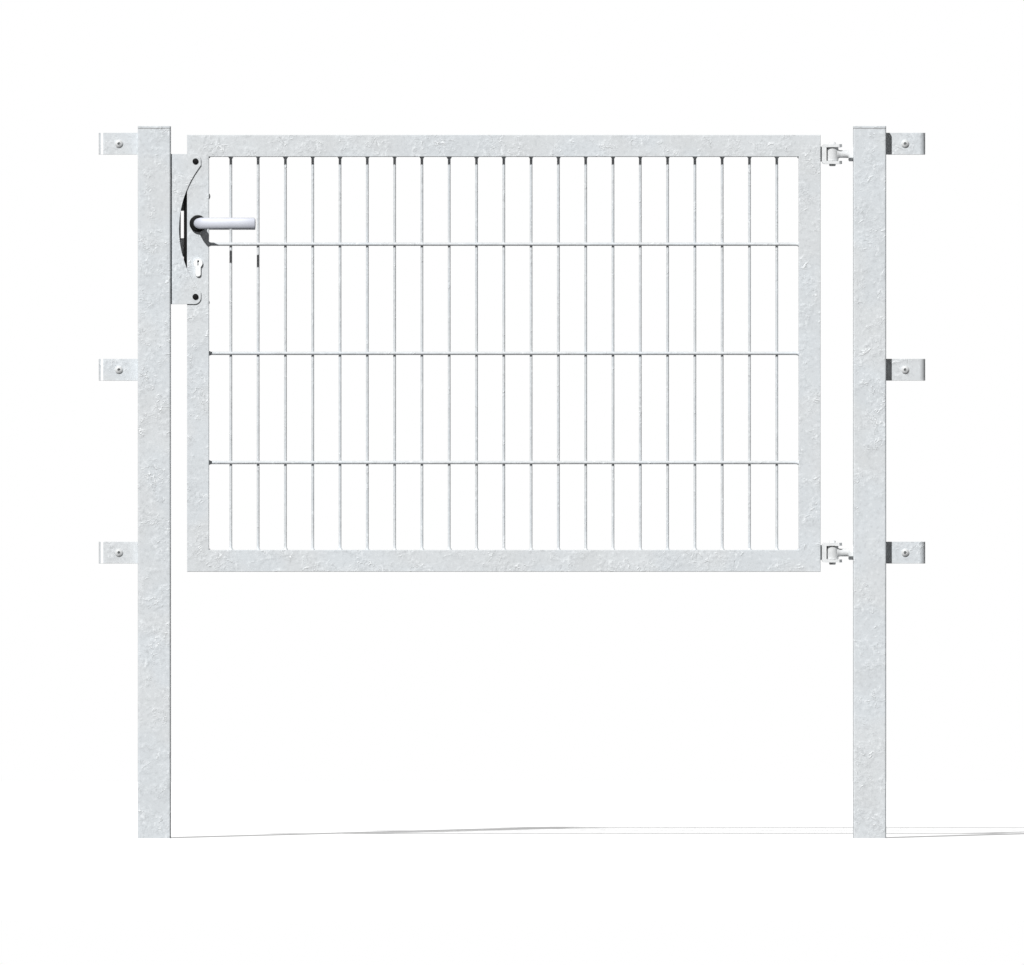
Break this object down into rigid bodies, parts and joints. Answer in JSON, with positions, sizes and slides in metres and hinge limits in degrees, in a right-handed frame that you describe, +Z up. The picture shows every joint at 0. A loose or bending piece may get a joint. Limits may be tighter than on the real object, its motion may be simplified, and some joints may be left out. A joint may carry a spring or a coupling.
{
  "type": "single leaf garden gate",
  "caption": "Galvanised garden gate with its posts: a tube-framed leaf filled with a welded rod mat, on eye bolt hinges, with lever lock and stop plate.",
  "frame": {"origin": "middle of the lock post's foot, on its bottom face", "axes": "+X from the lock post to the hinge post, +Y to the back, where the leaf opens to, +Z up"},
  "size_m": [1.514, 0.1806, 1.304],
  "materials": {
    "galvanised_steel": "hot-dip galvanised, matt",
    "bright_zinc": "bright zinc plated",
    "satin_aluminium": "satin anodised",
    "nickel_plated": "nickel plated",
    "plain_steel": "plain steel",
    "black_coated_steel": "black powder coat",
    "dark_latch": "dull dark die-cast metal",
    "black_plastic": "matt black",
    "black_rubber": "soft black rubber"
  },
  "bodies": {
    "posts": {"lock_post": "galvanised_steel", "lock_post_cap": "galvanised_steel", "hinge_post": "galvanised_steel", "hinge_post_cap": "galvanised_steel", "stop_plate": "galvanised_steel", "upper_buffer": "black_rubber", "lower_buffer": "black_rubber", "lock_post_upper_bracket": "galvanised_steel", "lock_post_upper_clamp_plate": "galvanised_steel", "lock_post_upper_clamp_screw": "bright_zinc", "lock_post_middle_bracket": "galvanised_steel", "lock_post_middle_clamp_plate": "galvanised_steel", "lock_post_middle_clamp_screw": "bright_zinc", "lock_post_lower_bracket": "galvanised_steel", "lock_post_lower_clamp_plate": "galvanised_steel", "lock_post_lower_clamp_screw": "bright_zinc", "hinge_post_upper_bracket": "galvanised_steel", "hinge_post_upper_clamp_plate": "galvanised_steel", "hinge_post_upper_clamp_screw": "bright_zinc", "hinge_post_middle_bracket": "galvanised_steel", "hinge_post_middle_clamp_plate": "galvanised_steel", "hinge_post_middle_clamp_screw": "bright_zinc", "hinge_post_lower_bracket": "galvanised_steel", "hinge_post_lower_clamp_plate": "galvanised_steel", "hinge_post_lower_clamp_screw": "bright_zinc", "upper_eye_bolt": "bright_zinc", "lower_eye_bolt": "bright_zinc", "upper_lock_nut": "bright_zinc", "lower_lock_nut": "bright_zinc"},
    "leaf": {"lock_stile": "galvanised_steel", "hinge_stile": "galvanised_steel", "top_rail": "galvanised_steel", "bottom_rail": "galvanised_steel", "rod_mat": "galvanised_steel", "upper_clevis": "bright_zinc", "lower_clevis": "bright_zinc", "upper_hinge_pin": "bright_zinc", "lower_hinge_pin": "bright_zinc", "lock_face_plate": "black_coated_steel", "lock_cylinder": "nickel_plated", "front_rosette": "black_plastic", "rear_rosette": "black_plastic"},
    "handle": {"front_lever": "satin_aluminium", "rear_lever": "satin_aluminium", "handle_spindle": "plain_steel"},
    "latch": {"latch": "dark_latch"},
    "dead_bolt": {"dead_bolt": "plain_steel"}
  },
  "joints": [
    {"name": "leaf_swing", "type": "hinge", "parent": "posts", "child": "leaf", "pos_m": [1.242, 0, 0.523], "axis": [0, 0, -1], "range_deg": [0, 100]},
    {"name": "handle_turn", "type": "hinge", "parent": "leaf", "child": "handle", "pos_m": [0.08, 0, 1.1255], "axis": [0, 1, 0], "range_deg": [0, 40], "stiffness_Nm_per_rad": 1.5, "springref_deg": -20.05},
    {"name": "latch_slide", "type": "slide", "parent": "leaf", "child": "latch", "axis": [1, 0, 0], "range_m": [0, 0.016]},
    {"name": "dead_bolt_slide", "type": "slide", "parent": "leaf", "child": "dead_bolt", "axis": [1, 0, 0], "range_m": [0, 0.016]}
  ],
  "couplings": [
    {"joint": "latch_slide", "follows": "handle_turn", "m_per_rad": 0.0229}
  ]
}
